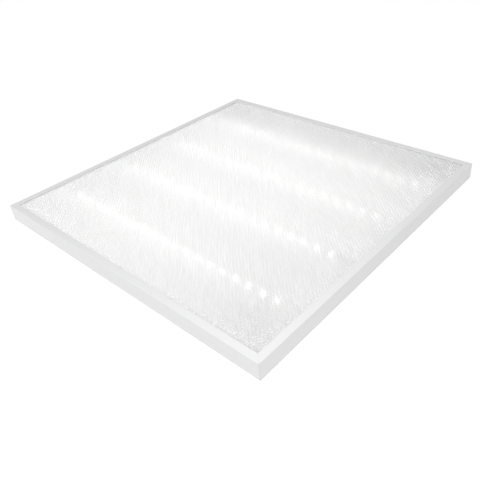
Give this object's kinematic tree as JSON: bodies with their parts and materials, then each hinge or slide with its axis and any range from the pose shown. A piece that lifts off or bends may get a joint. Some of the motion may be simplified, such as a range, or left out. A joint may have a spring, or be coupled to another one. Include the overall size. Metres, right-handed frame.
{
  "type": "surface mount led panel",
  "caption": "Square slim ceiling light with a white mitred frame, a prismatic diffuser over rows of lamps, a wiring pocket and keyholes in the back.",
  "frame": {"origin": "centre of the face that lies on the ceiling", "axes": "+Z out of the light face, X along the lamp rows with the end rail that comes off at +X, +Y across the rows towards the side with the wiring pocket"},
  "size_m": [0.595, 0.595, 0.03],
  "materials": {
    "frame_white": "satin",
    "diffuser_prismatic": "satin",
    "key_metal": "matte",
    "screw_zinc": "satin",
    "rivet_metal": "satin",
    "back_white": "satin",
    "standoff_brass": "satin",
    "tray_metal": "satin",
    "film_white": "matte",
    "board_white": "satin",
    "lamp_phosphor": "satin",
    "connector_white": "satin",
    "wire_red": "satin",
    "wire_black": "satin",
    "wire_brown": "satin",
    "wire_blue": "satin",
    "wire_green_yellow": "satin",
    "grommet_rubber": "matte",
    "clip_nylon": "matte",
    "housing_white": "matte",
    "pocket_white": "satin",
    "lid_white": "satin",
    "terminal_grey": "satin",
    "button_orange": "satin",
    "clamp_grey": "satin",
    "circuit_green": "satin",
    "transformer_core": "matte",
    "capacitor_sleeve": "satin",
    "choke_winding": "satin",
    "driver_terminal": "satin",
    "tag_tinned": "satin"
  },
  "bodies": {
    "luminaire": {"back_plate": "back_white", "back_plate_screws": "screw_zinc", "board_rivets": "rivet_metal", "cable_grommet": "grommet_rubber", "cord_clamp": "clamp_grey", "cord_clamp_screws": "screw_zinc", "corner_clamp_screws": "screw_zinc", "corner_key_back_left": "key_metal", "corner_key_front_left": "key_metal", "driver_base": "housing_white", "driver_board": "circuit_green", "driver_capacitors": "capacitor_sleeve", "driver_choke": "choke_winding", "driver_cover": "housing_white", "driver_input_terminal": "driver_terminal", "driver_output_terminal": "driver_terminal", "driver_screws": "screw_zinc", "driver_transformer": "transformer_core", "earth_screw": "screw_zinc", "earth_tag": "tag_tinned", "earth_wire": "wire_green_yellow", "feed_connector": "connector_white", "feed_wire_negative": "wire_black", "feed_wire_positive": "wire_red", "frame_rail_back": "frame_white", "frame_rail_front": "frame_white", "frame_rail_left": "frame_white", "gear_tray": "tray_metal", "jumper_connectors": "connector_white", "jumper_wires_negative": "wire_black", "jumper_wires_positive": "wire_red", "led_board_1": "board_white", "led_board_2": "board_white", "led_board_3": "board_white", "led_board_4": "board_white", "leds_row_1": "lamp_phosphor", "leds_row_2": "lamp_phosphor", "leds_row_3": "lamp_phosphor", "leds_row_4": "lamp_phosphor", "reflector_sheet": "film_white", "supply_wire_live": "wire_brown", "supply_wire_neutral": "wire_blue", "terminal_block": "terminal_grey", "terminal_box": "pocket_white", "terminal_box_rivets": "rivet_metal", "tray_grommet": "grommet_rubber", "tray_screws": "screw_zinc", "tray_standoffs": "standoff_brass", "wire_clips": "clip_nylon"},
    "diffuser_plate": {"diffuser": "diffuser_prismatic"},
    "end_rail_assembly": {"end_rail": "frame_white", "corner_key_front_right": "key_metal", "corner_key_back_right": "key_metal", "end_rail_screws": "screw_zinc"},
    "pocket_lid": {"terminal_lid": "lid_white"},
    "button_live": {"release_button_live": "button_orange"},
    "button_neutral": {"release_button_neutral": "button_orange"},
    "button_earth": {"release_button_earth": "button_orange"}
  },
  "joints": [
    {"name": "diffuser_slide", "type": "slide", "parent": "luminaire", "child": "diffuser_plate", "axis": [1, 0, 0], "range_m": [0, 0.6]},
    {"name": "end_rail_slide", "type": "slide", "parent": "luminaire", "child": "end_rail_assembly", "axis": [1, 0, 0], "range_m": [0, 0.67]},
    {"name": "terminal_lid_slide", "type": "slide", "parent": "luminaire", "child": "pocket_lid", "axis": [0, 1, 0], "range_m": [0, 0.045]},
    {"name": "live_press", "type": "slide", "parent": "luminaire", "child": "button_live", "axis": [0, 0, 1], "range_m": [0, 0.001], "stiffness_N_per_m": 300, "springref_m": -0.002},
    {"name": "neutral_press", "type": "slide", "parent": "luminaire", "child": "button_neutral", "axis": [0, 0, 1], "range_m": [0, 0.001], "stiffness_N_per_m": 300, "springref_m": -0.002},
    {"name": "earth_press", "type": "slide", "parent": "luminaire", "child": "button_earth", "axis": [0, 0, 1], "range_m": [0, 0.001], "stiffness_N_per_m": 300, "springref_m": -0.002}
  ],
  "couplings": [
    {"joint": "end_rail_slide", "follows": "diffuser_slide", "ratio": 1.1}
  ]
}
